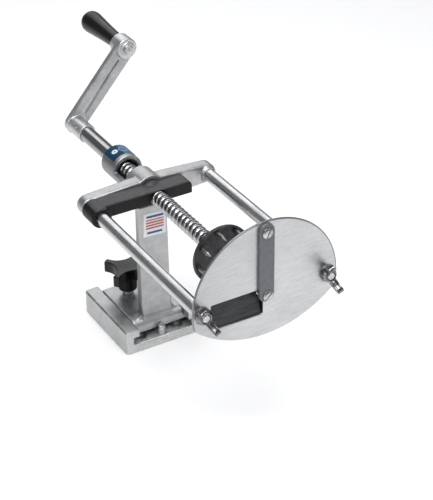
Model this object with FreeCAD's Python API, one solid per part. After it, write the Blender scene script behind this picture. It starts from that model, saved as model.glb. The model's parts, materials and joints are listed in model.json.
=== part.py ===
"""Hand-cranked spiral vegetable cutter on a slide-in counter base.

Frame: millimetres, +Z up, origin at the centre of the base's underside.
The face plate looks towards -Y, the crank is at +Y, and the feed screw and
both guide rods run along Y at the height AXIS_Z.
"""
import FreeCAD, Part
import math
import os

V = FreeCAD.Vector

# ---- driving dimensions ----
AXIS_Z = 161.3            # height of the feed screw and of both guide rods
ROD_X = 61.0              # guide rods stand this far either side of the screw
ROD_R = 6.35              # half-inch guide rods
SHAFT_R = 7.95            # five-eighths feed screw
RUN = 0.08                # radial running clearance of turning fits

# mounting base
BASE_W = 83.2
BASE_D = 89.2
BASE_H = 25.0
FLOOR_Z = 9.0             # top of the base's floor
LIP_Z = 17.0              # underside of the slot's two lips
SLOT_HALF = 27.0
GROOVE_HALF = 33.3
BASE_BOLT = (20.0, 32.0)  # bolt hole offsets from the centre
BASE_BOLT_R = 3.3
STOP_PIN = (0.0, -38.0, 3.8, 18.0)   # x, y, radius, top

# foot and post of the main casting
FOOT_FRONT = -34.0
FOOT_BACK = 35.0
FOOT_TOP = 26.0
FOOT_UNDER = 13.0
FOOT_HALF = 26.8
FLANGE_HALF = 32.9
POST_FRONT = -29.3
POST_BACK = -20.9
POST_TOP = 148.0
POST_HALF_LOW = 16.3
POST_HALF_HIGH = 15.1
RIB_HALF = 4.0

# crossbar and screw barrel of the main casting
BAR_FRONT = -26.0
BAR_BACK = -13.0
BAR_END_R = 9.3
BAR_MID_HALF = 12.0
BARREL_R = 15.4
BARREL_BORE_R = 11.0
BARREL_BACK = 45.0
WINDOW = (-3.0, 19.0, 162.5)         # front, back, lower edge

# half-nut lever
LEVER_BACK = -26.4
LEVER_FRONT = -43.5
LEVER_LOW = 157.8
LEVER_TOP = 170.5
LEVER_END_X = 34.5
LEVER_HUB_R = 10.0
LEVER_HUB_FRONT = -47.5
HALF_NUT_R = 8.4
HALF_NUT_BOSS_R = 11.3

# feed screw and pusher
SCREW_FRONT = -149.0
SCREW_SHOULDER = 104.0
SCREW_TAIL_R = 6.0
DISC_R = 28.3
DISC_BACK = -152.7
DISC_FACE = -155.2
DISC_RIM_FRONT = -156.7
DISC_HUB_R = 12.0
DISC_HUB_BACK = -141.0
PRONG_COUNT = 8
PRONG_CIRCLE_R = 24.2
PRONG_R = 2.0
PRONG_TIP = -171.0

# crank
CRANK_THROW = 90.5
CRANK_ANGLE = 48.9        # degrees from +X towards +Z at rest
CRANK_BACK = 135.0
ARM_FRONT = 129.5
CRANK_HUB_R = 9.5
EYE_FRONT = 127.2
EYE_RING = (125.6, 7.0)   # front and radius of the raised ring round the spindle's head
EYE_BACK = 145.0
EYE_R = 10.8
SPINDLE_R = 4.0
SPINDLE_BACK = 196.0
GRIP_FRONT = 145.4
GRIP_SHOULDER = 204.0
GRIP_BACK = 213.0
GRIP_R_FRONT = 7.6
GRIP_R_BACK = 11.3

# face plate and cutters
PLATE_FRONT = -226.7
PLATE_BACK = -224.7
PLATE_R = 70.5
PLATE_LOW_R = 101.0       # radius of the flatter lower edge
PLATE_DROP = 40.8         # lowest point of the plate below the screw axis
OPENING = (-53.0, -3.0, 142.5, 167.6)   # x low, x high, z low, z high
STUD_R = 3.95
STUD_FRONT = -233.2
COMB_X = -1.0
COMB_HALF = 7.25
COMB_LOW = 155.6
COMB_HIGH = 230.6
COMB_FRONT = -229.7
COMB_SCREW_Z = (AXIS_Z, 222.2)
SCORE_COUNT = 8
SCORE_PITCH = 6.0
SCORE_FIRST_Z = 169.3
CORE_R = 4.6              # tube that bores out the middle
WING_ANGLE_LEFT = -62.0   # direction of one wing of each nut, degrees from +X
WING_ANGLE_RIGHT = -69.0
WING_HALF = 2.9           # half the thickness of a wing
NUT_R_FOOT = 7.0
NUT_R_TOP = 5.3
NUT_HEIGHT = 6.8

# clamp
CLAMP_X = -7.0
CLAMP_Y = 17.0
CLAMP_SCREW_R = 4.75
PAD_R = 7.0
PAD_TOP = 12.7
KNOB_R = 23.8
KNOB_WAIST_R = 11.5
KNOB_TOP = 58.2
KNOB_LOBE_LOW = 46.6
KNOB_LOW = 32.2
KNOB_ANGLE = 36.0         # direction of the first of the four lobes


# ---- helpers ----
def box(x0, x1, y0, y1, z0, z1):
    return Part.makeBox(x1 - x0, y1 - y0, z1 - z0, V(x0, y0, z0))


def rod_y(x, z, radius, y0, y1):
    """Cylinder along Y between y0 and y1."""
    return Part.makeCylinder(radius, y1 - y0, V(x, y0, z), V(0, 1, 0))


def cone_y(x, z, radius0, radius1, y0, y1):
    """Cone along Y with radius0 at y0 and radius1 at y1."""
    return Part.makeCone(radius0, radius1, y1 - y0, V(x, y0, z), V(0, 1, 0))


def rod_z(x, y, radius, z0, z1):
    return Part.makeCylinder(radius, z1 - z0, V(x, y, z0))


def face_of(points):
    """Flat face bounded by straight lines through the points."""
    return Part.Face(Part.makePolygon(points + [points[0]]))


def face_of_edges(edges):
    return Part.Face(Part.Wire(Part.__sortEdges__(edges)))


def line(a, b):
    return Part.LineSegment(a, b).toShape()


def arc(a, middle, b):
    return Part.Arc(a, middle, b).toShape()


def revolved_y(profile, x, z):
    """Solid turned about the Y line at (x, z) from (y, radius) pairs."""
    points = [V(x, y, z) + V(radius, 0, 0) for y, radius in profile]
    return face_of(points).revolve(V(x, 0, z), V(0, 1, 0), 360)


def edges_where(shape, test):
    return [e for e in shape.Edges if test(e)]


def on_plane(edge, axis, value, slack=1e-4):
    """True when the whole edge lies on the plane axis = value."""
    low = getattr(edge.BoundBox, axis + "Min")
    high = getattr(edge.BoundBox, axis + "Max")
    return abs(low - value) < slack and abs(high - value) < slack


def edges_on(shape, **planes):
    """Edges that lie on every named plane, such as Y=3, Z=5."""
    return [e for e in shape.Edges if all(on_plane(e, axis, value) for axis, value in planes.items())]


def ring_y(x, z, inner, outer, y0, y1):
    return rod_y(x, z, outer, y0, y1).cut(rod_y(x, z, inner, y0 - 1, y1 + 1))


def turned(shape, x, z, degrees_up):
    """Copy turned about the Y line at (x, z), +X going towards +Z."""
    copy = shape.copy()
    copy.rotate(V(x, 0, z), V(0, 1, 0), -degrees_up)
    return copy


# ---- mounting base ----
def mounting_base():
    body = box(-BASE_W / 2, BASE_W / 2, -BASE_D / 2, BASE_D / 2, 0, BASE_H)
    body = body.makeFillet(3.0, edges_where(body, lambda e: e.BoundBox.ZLength > BASE_H - 1))
    body = body.makeFillet(1.2, edges_on(body, Z=BASE_H))
    reach = BASE_D / 2 + 5
    body = body.cut(box(-SLOT_HALF, SLOT_HALF, -reach, reach, FLOOR_Z, BASE_H + 5))
    body = body.cut(box(-GROOVE_HALF, GROOVE_HALF, -reach, reach, FLOOR_Z, LIP_Z))
    for sx in (-1, 1):
        for sy in (-1, 1):
            x = sx * BASE_BOLT[0]
            y = sy * BASE_BOLT[1]
            body = body.cut(rod_z(x, y, BASE_BOLT_R, -1, FLOOR_Z + 1))
            sink = Part.makeCone(BASE_BOLT_R, 6.6, 3.3, V(x, y, FLOOR_Z - 3.3))
            body = body.cut(sink)
    x, y, radius, top = STOP_PIN
    return body.cut(rod_z(x, y, radius, 2.0, top))


def stop_pin():
    x, y, radius, top = STOP_PIN
    pin = rod_z(x, y, radius, 2.0, top)
    return pin.makeChamfer(0.8, edges_on(pin, Z=top))


# ---- main casting ----
def casting_foot():
    foot = box(-FOOT_HALF, FOOT_HALF, FOOT_FRONT, FOOT_BACK, FOOT_UNDER, FOOT_TOP)
    front_top = edges_on(foot, Z=FOOT_TOP, Y=FOOT_FRONT)
    foot = foot.makeFillet(8.0, front_top)
    back_top = edges_on(foot, Z=FOOT_TOP, Y=FOOT_BACK)
    foot = foot.makeFillet(1.5, back_top)
    flange = box(-FLANGE_HALF, FLANGE_HALF, FOOT_FRONT, FOOT_BACK, FOOT_UNDER, LIP_Z)
    return foot.fuse(flange)


def casting_post():
    low_z = FOOT_TOP - 4
    outline = face_of([V(-POST_HALF_LOW, POST_FRONT, low_z),
                       V(POST_HALF_LOW, POST_FRONT, low_z),
                       V(POST_HALF_HIGH, POST_FRONT, POST_TOP),
                       V(-POST_HALF_HIGH, POST_FRONT, POST_TOP)])
    post = outline.extrude(V(0, POST_BACK - POST_FRONT, 0))
    post = post.makeFillet(1.6, edges_where(post, lambda e: e.BoundBox.ZLength > 100))
    rib = face_of([V(-RIB_HALF, POST_BACK - 2, low_z), V(-RIB_HALF, -10.0, low_z),
                   V(-RIB_HALF, -6.0, POST_TOP + 4), V(-RIB_HALF, POST_BACK - 2, POST_TOP + 4)])
    return post.fuse(rib.extrude(V(2 * RIB_HALF, 0, 0)))


def casting_crossbar():
    z = AXIS_Z
    y = BAR_FRONT
    mid = BARREL_R + 1

    def p(x, dz):
        return V(x, y, z + dz)

    edges = []
    for s in (1, -1):
        edges.append(line(p(-ROD_X, s * BAR_END_R), p(-mid, s * BAR_MID_HALF)))
        edges.append(line(p(-mid, s * BAR_MID_HALF), p(mid, s * BAR_MID_HALF)))
        edges.append(line(p(mid, s * BAR_MID_HALF), p(ROD_X, s * BAR_END_R)))
        tip = p(s * (ROD_X + BAR_END_R), 0)
        edges.append(arc(p(s * ROD_X, BAR_END_R), tip, p(s * ROD_X, -BAR_END_R)))
    bar = face_of_edges(edges).extrude(V(0, BAR_BACK - BAR_FRONT, 0))
    rims = edges_on(bar, Y=BAR_FRONT) + edges_on(bar, Y=BAR_BACK)
    return bar.makeFillet(2.0, rims)


def frame_casting():
    barrel = rod_y(0, AXIS_Z, BARREL_R, BAR_FRONT, BARREL_BACK)
    barrel = barrel.makeFillet(1.0, edges_on(barrel, Y=BARREL_BACK))
    body = casting_crossbar().fuse([barrel, casting_post(), casting_foot()])
    body = body.cut(rod_y(0, AXIS_Z, BARREL_BORE_R, BAR_FRONT - 1, BARREL_BACK - 1.2))
    body = body.cut(rod_y(0, AXIS_Z, BARREL_BORE_R - 1.6, BARREL_BACK - 2, BARREL_BACK + 1))
    body = body.cut(rod_y(0, AXIS_Z, BARREL_BORE_R + 0.9, 25.4, 26.6))
    front, back, low = WINDOW
    body = body.cut(box(-20, 20, front, back, low, AXIS_Z + 20))
    for sx in (-1, 1):
        body = body.cut(rod_y(sx * ROD_X, AXIS_Z, ROD_R, BAR_FRONT - 1, BAR_BACK - 1.5))
        body = body.cut(rod_z(sx * ROD_X, -19.5, 2.5, AXIS_Z - BAR_END_R - 1, AXIS_Z - 4))
    body = body.cut(rod_z(CLAMP_X, CLAMP_Y, CLAMP_SCREW_R + RUN, FOOT_UNDER - 1, FOOT_TOP + 1))
    body = body.cut(rod_z(CLAMP_X, CLAMP_Y, PAD_R + 1.2, FOOT_UNDER - 1, FOOT_UNDER + 4.6))
    return body.removeSplitter()


def guide_rod(x):
    shoulder = PLATE_BACK
    rod = rod_y(x, AXIS_Z, ROD_R, shoulder, BAR_BACK - 1.5)
    rod = rod.makeChamfer(0.6, edges_on(rod, Y=shoulder))
    stud = rod_y(x, AXIS_Z, STUD_R, STUD_FRONT, shoulder + 1)
    stud = stud.makeChamfer(0.8, edges_on(stud, Y=STUD_FRONT))
    return rod.fuse(stud)


def rod_set_screws():
    top = AXIS_Z - ROD_R
    low = AXIS_Z - BAR_END_R + 0.4
    screws = []
    for sx in (-1, 1):
        screw = rod_z(sx * ROD_X, -19.5, 2.5, low, top)
        socket = Part.makeBox(2.2, 2.2, 1.2, V(sx * ROD_X - 1.1, -20.6, low - 0.1))
        screws.append(screw.cut(socket))
    return Part.makeCompound(screws)


def front_bush():
    """Plain bush that the screw's crests pass through without touching."""
    return ring_y(0, AXIS_Z, SHAFT_R + 0.35, BARREL_BORE_R, BAR_FRONT, -9.0)


def turning_bush():
    """Bush that turns with the screw in the barrel's rear end."""
    return ring_y(0, AXIS_Z, SHAFT_R + RUN, BARREL_BORE_R - RUN, 26.7, BARREL_BACK - 1.3)


def bush_ring():
    """Spring ring in the barrel's groove, in front of the turning bush."""
    ring = ring_y(0, AXIS_Z, BARREL_BORE_R - 1.5, BARREL_BORE_R + 0.8, 25.5, 26.5)
    return ring.cut(box(-1.5, 1.5, 25, 27, AXIS_Z - 14, AXIS_Z - 8))


def collar_label():
    """Thin strip wrapped over the top of the barrel's rear ring."""
    y = 24.5

    def at(radius, degrees):
        angle = math.radians(degrees)
        return V(radius * math.cos(angle), y, AXIS_Z + radius * math.sin(angle))

    start = 42.0
    end = 140.0
    middle = (start + end) / 2
    outer = BARREL_R + 0.25
    edges = [arc(at(BARREL_R, start), at(BARREL_R, middle), at(BARREL_R, end)),
             arc(at(outer, start), at(outer, middle), at(outer, end)),
             line(at(BARREL_R, start), at(outer, start)),
             line(at(BARREL_R, end), at(outer, end))]
    return face_of_edges(edges).extrude(V(0, 19.3, 0))


def post_label():
    label = box(-11.9, 11.9, POST_FRONT - 0.25, POST_FRONT, -12.4, 12.4)
    label.translate(V(1.2, 0, 127.2))
    return turned(label, 1.2, 127.2, -3.0)


# ---- half-nut lever ----
def half_nut_lever():
    z = AXIS_Z
    y = LEVER_FRONT
    corner = 5.5
    slack = corner * (1 - math.sqrt(0.5))
    left = V(-ROD_X, y, LEVER_LOW)
    top_left = V(-ROD_X, y, LEVER_TOP)
    top_right = V(LEVER_END_X - corner, y, LEVER_TOP)
    side_top = V(LEVER_END_X, y, LEVER_TOP - corner)
    low_right = V(LEVER_END_X, y, LEVER_LOW)
    turn = V(LEVER_END_X - slack, y, LEVER_TOP - slack)
    outline = [line(left, top_left), line(top_left, top_right), arc(top_right, turn, side_top),
               line(side_top, low_right), line(low_right, left)]
    bar = face_of_edges(outline).extrude(V(0, LEVER_BACK - LEVER_FRONT, 0))
    long_top = edges_on(bar, Z=LEVER_TOP, Y=LEVER_FRONT)
    bar = bar.makeFillet(1.0, long_top)
    hub = rod_y(-ROD_X, z, LEVER_HUB_R, LEVER_HUB_FRONT, LEVER_BACK)
    hub = hub.makeFillet(1.2, edges_on(hub, Y=LEVER_HUB_FRONT))
    boss = rod_y(0, z, HALF_NUT_BOSS_R, -29.6, LEVER_BACK)
    boss = boss.fuse(cone_y(0, z, LEVER_TOP - z, HALF_NUT_BOSS_R, -33.6, -29.6))
    boss = boss.cut(box(-20, 20, -50, -20, z - 20, LEVER_LOW))
    body = bar.fuse([hub, boss])
    body = body.cut(rod_y(0, z, HALF_NUT_R, -50, -20))
    body = body.cut(box(-HALF_NUT_R, HALF_NUT_R, -50, -20, z - 20, z))
    body = body.cut(rod_y(-ROD_X, z, ROD_R + RUN, -50, -20))
    return body.removeSplitter()


# ---- feed screw and pusher ----
def feed_screw():
    shaft = rod_y(0, AXIS_Z, SHAFT_R, SCREW_FRONT, SCREW_SHOULDER)
    shaft = shaft.makeChamfer(0.8, edges_on(shaft, Y=SCREW_SHOULDER))
    tail = rod_y(0, AXIS_Z, SCREW_TAIL_R, SCREW_SHOULDER - 1, CRANK_BACK)
    body = shaft.fuse(tail)
    body = body.cut(rod_y(0, AXIS_Z, 2.5, SCREW_FRONT - 1, SCREW_FRONT + 16))
    return body.cut(crank_pin())


def pusher_disc():
    disc = rod_y(0, AXIS_Z, DISC_R, DISC_RIM_FRONT, DISC_BACK)
    disc = disc.makeFillet(0.8, edges_on(disc, Y=DISC_BACK))
    disc = disc.cut(rod_y(0, AXIS_Z, DISC_R - 1.7, DISC_RIM_FRONT - 1, DISC_FACE))
    hub = cone_y(0, AXIS_Z, DISC_HUB_R + 1.5, DISC_HUB_R, DISC_BACK - 1, DISC_HUB_BACK)
    body = disc.fuse(hub)
    body = body.cut(rod_y(0, AXIS_Z, SHAFT_R, SCREW_FRONT, DISC_HUB_BACK + 1))
    body = body.cut(rod_y(0, AXIS_Z, 3.0, DISC_RIM_FRONT - 1, SCREW_FRONT + 1))
    for x, z in prong_places():
        body = body.cut(rod_y(x, z, PRONG_R, DISC_RIM_FRONT - 1, DISC_BACK + 1))
    return body.removeSplitter()


def prong_places():
    places = []
    for i in range(PRONG_COUNT):
        angle = math.radians(102.0 + i * 360.0 / PRONG_COUNT)
        places.append((PRONG_CIRCLE_R * math.cos(angle), AXIS_Z + PRONG_CIRCLE_R * math.sin(angle)))
    return places


def pusher_prongs():
    prongs = []
    for x, z in prong_places():
        shank = rod_y(x, z, PRONG_R, PRONG_TIP + 5, DISC_BACK)
        point = cone_y(x, z, 0.4, PRONG_R, PRONG_TIP, PRONG_TIP + 5)
        prongs.append(shank.fuse(point).removeSplitter())
    return Part.makeCompound(prongs)


def pusher_screw():
    profile = [(SCREW_FRONT + 14, 0.0), (SCREW_FRONT + 14, 2.5), (SCREW_FRONT, 2.5), (DISC_FACE, 2.5),
               (DISC_FACE, 5.6), (DISC_FACE - 1.2, 5.4), (DISC_FACE - 2.6, 3.6), (DISC_FACE - 3.0, 0.0)]
    screw = revolved_y(profile, 0, AXIS_Z)
    slot = box(-6, 6, DISC_FACE - 4, DISC_FACE - 1.4, AXIS_Z - 0.6, AXIS_Z + 0.6)
    return screw.cut(slot)


# ---- crank ----
def link_blank(radius0, radius1, length, y0, y1):
    """Tapered link along +X from the screw axis: two discs and their tangents."""
    lean = math.asin((radius0 - radius1) / length)
    points = []
    corners = ((0, radius0, 1), (length, radius1, 1), (length, radius1, -1), (0, radius0, -1))
    for x, radius, side in corners:
        points.append(V(x + radius * math.sin(lean), y0, AXIS_Z + side * radius * math.cos(lean)))
    web = face_of(points).extrude(V(0, y1 - y0, 0))
    return web.fuse([rod_y(0, AXIS_Z, radius0, y0, y1), rod_y(length, AXIS_Z, radius1, y0, y1)])


def crank_arm():
    web = link_blank(10.5, EYE_R, CRANK_THROW, ARM_FRONT, CRANK_BACK).removeSplitter()
    groove = link_blank(2.6, 0.6, 62.0, ARM_FRONT - 1, ARM_FRONT + 1.8)
    groove.translate(V(14.0, 0, 0))
    hub = rod_y(0, AXIS_Z, CRANK_HUB_R, SCREW_SHOULDER + 0.2, CRANK_BACK)
    hub = hub.makeFillet(1.0, edges_on(hub, Y=SCREW_SHOULDER + 0.2))
    eye = rod_y(CRANK_THROW, AXIS_Z, EYE_R, EYE_FRONT, EYE_BACK)
    rims = edges_on(eye, Y=EYE_FRONT) + edges_on(eye, Y=EYE_BACK)
    eye = eye.makeFillet(1.2, rims)
    ring = rod_y(CRANK_THROW, AXIS_Z, EYE_RING[1], EYE_RING[0], EYE_FRONT + 1)
    body = web.cut(groove).fuse([hub, eye, ring])
    body = body.cut(rod_y(0, AXIS_Z, SCREW_TAIL_R, SCREW_SHOULDER - 1, CRANK_BACK + 1))
    body = body.cut(rod_y(CRANK_THROW, AXIS_Z, SPINDLE_R, EYE_FRONT - 5, EYE_BACK + 1))
    body = turned(body.removeSplitter(), 0, AXIS_Z, CRANK_ANGLE)
    return body.cut(crank_pin())


def crank_pin():
    """Cross pin through the crank hub and the screw's tail."""
    length = 2 * CRANK_HUB_R - 0.6
    pin = Part.makeCylinder(2.0, length, V(0, 112.0, AXIS_Z - length / 2), V(0, 0, 1))
    return turned(pin, 0, AXIS_Z, CRANK_ANGLE)


def grip_centre():
    angle = math.radians(CRANK_ANGLE)
    return CRANK_THROW * math.cos(angle), AXIS_Z + CRANK_THROW * math.sin(angle)


def grip_spindle():
    x, z = grip_centre()
    seat = EYE_RING[0]
    profile = [(SPINDLE_BACK, 0.0), (SPINDLE_BACK, 3.4), (SPINDLE_BACK - 0.6, SPINDLE_R),
               (191.2, SPINDLE_R), (191.2, 3.3), (190.0, 3.3), (190.0, SPINDLE_R),
               (seat, SPINDLE_R), (seat, 5.4), (seat - 1.4, 5.1), (seat - 2.2, 4.0), (seat - 2.5, 0.0)]
    return revolved_y(profile, x, z)


def grip_ring():
    x, z = grip_centre()
    ring = ring_y(x, z, 3.3, 4.9, 190.1, 191.1)
    return ring.cut(box(x - 1.2, x + 1.2, 189, 192, z - 6, z - 2))


def crank_grip():
    x, z = grip_centre()
    steps = 10
    profile = [(GRIP_FRONT, 0.0), (GRIP_FRONT, GRIP_R_FRONT - 0.8), (GRIP_FRONT + 0.8, GRIP_R_FRONT)]
    for i in range(steps + 1):
        angle = math.pi / 2 * i / steps
        y = GRIP_SHOULDER + (GRIP_BACK - GRIP_SHOULDER) * math.sin(angle)
        profile.append((y, GRIP_R_BACK * math.cos(angle)))
    profile[-1] = (GRIP_BACK, 0.0)
    grip = revolved_y(profile, x, z)
    grip = grip.cut(rod_y(x, z, SPINDLE_R + RUN, GRIP_FRONT - 1, SPINDLE_BACK + 1.5))
    return grip.cut(rod_y(x, z, 5.3, 189.7, 191.6))


# ---- face plate and cutters ----
def plate_outline():
    """Upper circular edge, flatter lower arc and the two corners where they meet."""
    centre_z = AXIS_Z - PLATE_DROP + PLATE_LOW_R
    gap = centre_z - AXIS_Z
    corner_dz = (PLATE_R ** 2 - PLATE_LOW_R ** 2 + gap ** 2) / (2 * gap)
    corner_x = math.sqrt(PLATE_R ** 2 - corner_dz ** 2)
    left = V(-corner_x, PLATE_FRONT, AXIS_Z + corner_dz)
    right = V(corner_x, PLATE_FRONT, AXIS_Z + corner_dz)
    upper = arc(left, V(0, PLATE_FRONT, AXIS_Z + PLATE_R), right)
    lower = arc(right, V(0, PLATE_FRONT, AXIS_Z - PLATE_DROP), left)
    return face_of_edges([upper, lower])


def face_plate():
    plate = plate_outline().extrude(V(0, PLATE_BACK - PLATE_FRONT, 0))
    across = edges_where(plate, lambda e: e.BoundBox.ZLength < 1e-3 and e.BoundBox.XLength < 1e-3)
    plate = plate.makeFillet(5.0, across)
    x0, x1, z0, z1 = OPENING
    opening = box(x0, x1, PLATE_FRONT - 1, PLATE_BACK + 1, z0, z1)
    corners = edges_where(opening, lambda e: e.BoundBox.YLength > 1)
    plate = plate.cut(opening.makeFillet(1.5, corners))
    for sx in (-1, 1):
        plate = plate.cut(rod_y(sx * ROD_X, AXIS_Z, STUD_R + 0.3, PLATE_FRONT - 1, PLATE_BACK + 1))
    slot_low = SCORE_FIRST_Z - 2.4
    slot_high = SCORE_FIRST_Z + (SCORE_COUNT - 1) * SCORE_PITCH + 2.4
    slot = box(COMB_X - 4.3, COMB_X + 4.3, PLATE_FRONT - 1, PLATE_BACK + 1, slot_low, slot_high)
    plate = plate.cut(slot)
    for x, z in comb_screw_places():
        plate = plate.cut(rod_y(x, z, 2.5, PLATE_FRONT - 1, PLATE_BACK + 1))
    return plate


def comb_screw_places():
    return ((0.0, COMB_SCREW_Z[0]), (COMB_X, COMB_SCREW_Z[1]))


def comb_bar():
    y = COMB_FRONT
    low = COMB_LOW + COMB_HALF
    high = COMB_HIGH - COMB_HALF
    left = COMB_X - COMB_HALF
    right = COMB_X + COMB_HALF
    edges = [line(V(left, y, low), V(left, y, high)),
             arc(V(left, y, high), V(COMB_X, y, COMB_HIGH), V(right, y, high)),
             line(V(right, y, high), V(right, y, low)),
             arc(V(right, y, low), V(COMB_X, y, COMB_LOW), V(left, y, low))]
    bar = face_of_edges(edges).extrude(V(0, PLATE_FRONT - COMB_FRONT, 0))
    bar = bar.makeFillet(0.5, edges_on(bar, Y=COMB_FRONT))
    for x, z in comb_screw_places():
        bar = bar.cut(rod_y(x, z, 2.5, COMB_FRONT - 1, PLATE_FRONT + 1))
    return bar


def scoring_blades():
    """Row of small blades that stand on the back of the bar, through the plate."""
    blades = []
    for i in range(SCORE_COUNT):
        z = SCORE_FIRST_Z + i * SCORE_PITCH
        outline = face_of([V(COMB_X - 4, PLATE_FRONT, z - 0.45), V(COMB_X + 4, PLATE_FRONT, z - 0.45),
                           V(COMB_X + 4, PLATE_BACK + 2, z - 0.45), V(COMB_X + 1, -216.0, z - 0.45),
                           V(COMB_X - 4, PLATE_BACK + 2, z - 0.45)])
        blades.append(outline.extrude(V(0, 0, 0.9)))
    return Part.makeCompound(blades)


def comb_screws():
    screws = []
    for (x, z), tilt, back in zip(comb_screw_places(), (42.0, 68.0), (-216.0, -219.5)):
        profile = [(back, 0.0), (back, 2.5), (COMB_FRONT, 2.5), (COMB_FRONT, 5.0),
                   (COMB_FRONT - 0.9, 4.8), (COMB_FRONT - 1.8, 3.3), (COMB_FRONT - 2.0, 0.0)]
        screw = revolved_y(profile, x, z)
        slot = box(x - 6, x + 6, COMB_FRONT - 3, COMB_FRONT - 0.8, z - 0.55, z + 0.55)
        screws.append(screw.cut(turned(slot, x, z, tilt)))
    return Part.makeCompound(screws)


def core_tube():
    """Small tube that bores out and steadies the middle of the vegetable."""
    tube = rod_y(0, AXIS_Z, CORE_R, PLATE_BACK, -214.0)
    tube = tube.cut(cone_y(0, AXIS_Z, 2.5, 4.2, -215.9, -213.9))
    return tube.cut(rod_y(0, AXIS_Z, 2.5, PLATE_BACK - 1, -215.0))


def comb_nut():
    x, z = comb_screw_places()[1]
    corner = 4.6
    points = []
    for i in range(6):
        angle = math.radians(60 * i)
        points.append(V(x + corner * math.cos(angle), PLATE_BACK, z + corner * math.sin(angle)))
    nut = face_of(points).extrude(V(0, 3.2, 0))
    return nut.cut(rod_y(x, z, 2.5, PLATE_BACK - 1, PLATE_BACK + 4))


def slicing_blade():
    """Blade behind the opening: a welded flange and a ramp up to the edge."""
    x0 = OPENING[0] + 0.5
    x1 = OPENING[1] + 6.0
    z0 = OPENING[2]
    back = PLATE_BACK
    outline = face_of([V(x0, back, z0 - 8), V(x0, back, z0 - 0.5), V(x0, -217.6, 164.4),
                       V(x0, -216.4, 162.2), V(x0, back + 1.5, z0 - 1.2), V(x0, back + 1.5, z0 - 8)])
    blade = outline.extrude(V(x1 - x0, 0, 0))
    return blade.cut(rod_y(0, AXIS_Z, CORE_R + 0.5, PLATE_BACK, PLATE_BACK + 20))


def wing_nut(x, angle):
    """Nut with two folded wings on the stud at the given side."""
    z = AXIS_Z
    top = PLATE_FRONT - NUT_HEIGHT
    body = revolved_y([(PLATE_FRONT, 0), (PLATE_FRONT, NUT_R_FOOT), (PLATE_FRONT - 1.8, NUT_R_FOOT + 0.5),
                       (PLATE_FRONT - 4.2, NUT_R_FOOT - 0.2), (PLATE_FRONT - 5.8, NUT_R_TOP + 0.5),
                       (top, NUT_R_TOP - 0.3), (top, 0)], x, z)
    outline = [(3.8, 1.0), (7.8, 1.6), (11.0, 4.4), (13.6, 8.2), (15.1, 11.8),
               (14.6, 14.6), (12.3, 15.2), (9.7, 13.2), (7.4, 10.2), (3.8, 6.4)]
    for side in (0, 180):
        solid = spline_slab(x, z, outline, 0.0, WING_HALF)
        fold = spline_slab(x, z, outline, 3.4, WING_HALF - 1.5)
        body = body.fuse(turned(solid.cut(fold), x, z, side + angle))
    body = body.cut(rod_y(x, z, NUT_R_TOP - 0.6, top - 20, top))
    return body.cut(rod_y(x, z, STUD_R + RUN, PLATE_FRONT - 20, PLATE_FRONT + 1))


def spline_slab(x, z, outline, forward, half):
    """Slab with a smooth closed outline of (out, up) pairs in the plane through the nut's axis."""
    points = [V(x + out, PLATE_FRONT - up - forward, z - half) for out, up in outline]
    curve = Part.BSplineCurve()
    curve.interpolate(points, PeriodicFlag=True)
    return Part.Face(Part.Wire(curve.toShape())).extrude(V(0, 0, 2 * half))


# ---- clamp ----
def clamp_screw():
    shank = rod_z(CLAMP_X, CLAMP_Y, CLAMP_SCREW_R, FOOT_UNDER, KNOB_TOP - 7)
    tip = rod_z(CLAMP_X, CLAMP_Y, 3.0, FLOOR_Z + 1.2, FOOT_UNDER + 1)
    return shank.fuse(tip)


def clamp_pad():
    pad = rod_z(CLAMP_X, CLAMP_Y, PAD_R, FLOOR_Z, PAD_TOP)
    pad = pad.makeChamfer(0.8, edges_on(pad, Z=PAD_TOP))
    return pad.cut(rod_z(CLAMP_X, CLAMP_Y, 3.0 + RUN, FLOOR_Z + 1.2, PAD_TOP + 1))


def clamp_knob():
    """Four-lobed knob: each side between two lobes is one concave arc."""
    tip_half = 3.6
    edges = []
    for i in range(4):
        here = math.radians(KNOB_ANGLE + 90 * i)
        after = here + math.pi / 2
        between = here + math.pi / 4

        def place(along, across, angle):
            x = CLAMP_X + along * math.cos(angle) - across * math.sin(angle)
            y = CLAMP_Y + along * math.sin(angle) + across * math.cos(angle)
            return V(x, y, KNOB_LOBE_LOW)

        first = place(KNOB_R - 0.6, -tip_half, here)
        last = place(KNOB_R - 0.6, tip_half, here)
        edges.append(arc(first, place(KNOB_R, 0, here), last))
        edges.append(arc(last, place(KNOB_WAIST_R, 0, between), place(KNOB_R - 0.6, -tip_half, after)))
    lobes = face_of_edges(edges).extrude(V(0, 0, KNOB_TOP - KNOB_LOBE_LOW))
    lobes = lobes.makeFillet(0.9, edges_on(lobes, Z=KNOB_TOP))
    hub = Part.makeCone(9.2, 10.2, KNOB_TOP - 2 - KNOB_LOW, V(CLAMP_X, CLAMP_Y, KNOB_LOW))
    body = lobes.fuse(hub)
    return body.cut(rod_z(CLAMP_X, CLAMP_Y, CLAMP_SCREW_R, KNOB_LOW - 1, KNOB_TOP - 7)).removeSplitter()


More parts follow.
